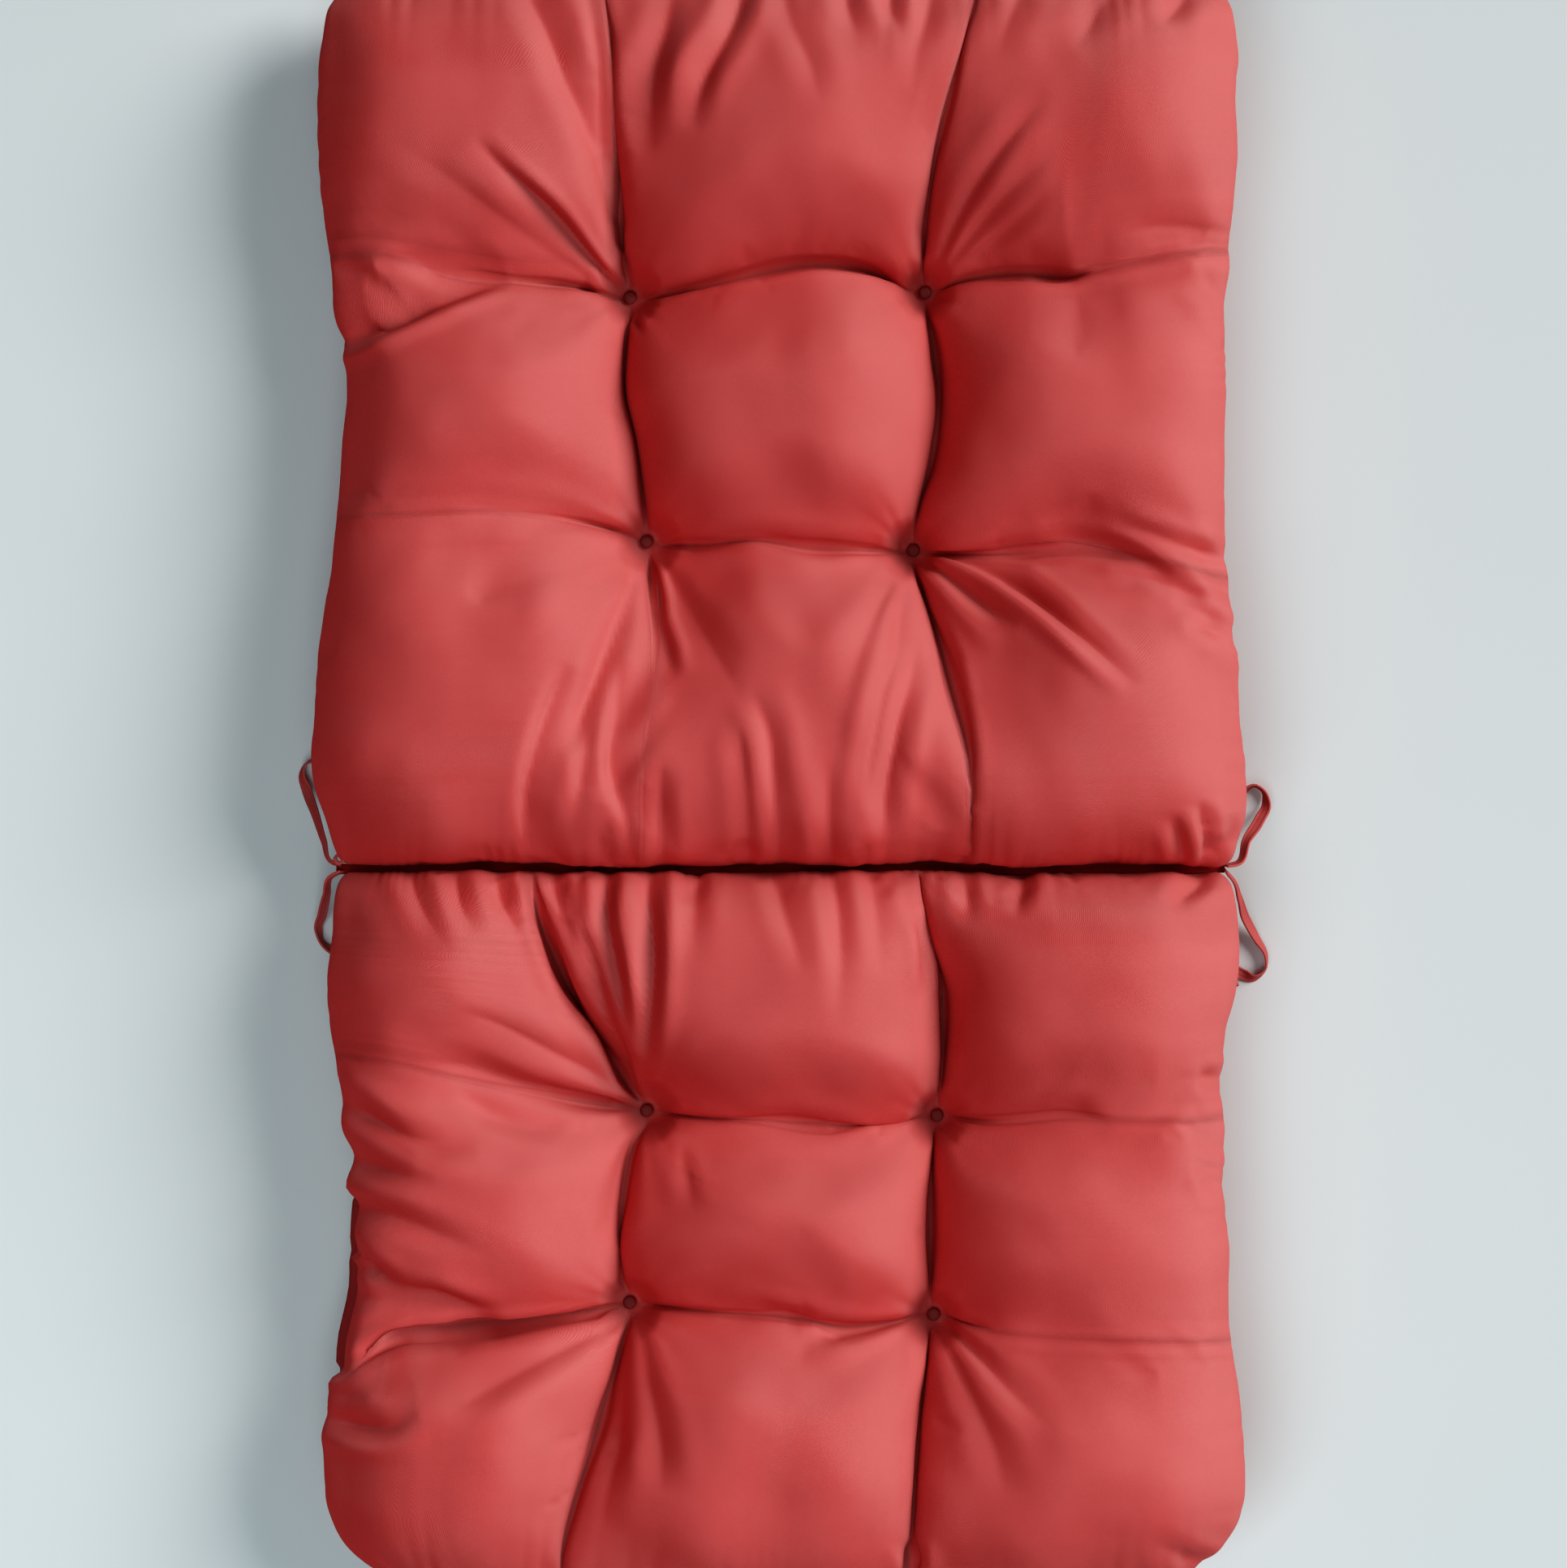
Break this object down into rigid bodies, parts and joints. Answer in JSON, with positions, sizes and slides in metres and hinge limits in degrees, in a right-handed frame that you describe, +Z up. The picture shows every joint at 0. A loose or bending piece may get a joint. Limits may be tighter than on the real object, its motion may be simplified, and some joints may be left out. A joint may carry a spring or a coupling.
{
  "type": "high-back adirondack chair cushion",
  "caption": "Long tufted chair cushion of two filled pockets, a back and a seat, joined by a sewn hinge, with covered buttons and tape ties.",
  "frame": {"origin": "on the surface that the cushion lies on, under the middle of its outline", "axes": "+X across the cushion to its right side, +Y from the foot of the seat pocket to the head of the back pocket, +Z up, out of the buttoned face"},
  "size_m": [0.5782, 0.932, 0.1133],
  "materials": {
    "cover_fabric": "plain woven polyester, softly satin",
    "button_fabric": "cover cloth pulled over a small button",
    "tie_tape": "narrow flat tape of the cover cloth"
  },
  "bodies": {
    "root": {"cushion": "cover_fabric", "button_back_upper_left": "button_fabric", "button_back_upper_right": "button_fabric", "button_back_lower_left": "button_fabric", "button_back_lower_right": "button_fabric", "button_seat_upper_left": "button_fabric", "button_seat_upper_right": "button_fabric", "button_seat_lower_left": "button_fabric", "button_seat_lower_right": "button_fabric", "tie_left_lower": "tie_tape", "tie_left_upper": "tie_tape", "tie_right_lower": "tie_tape", "tie_right_upper": "tie_tape"}
  },
  "joints": []
}
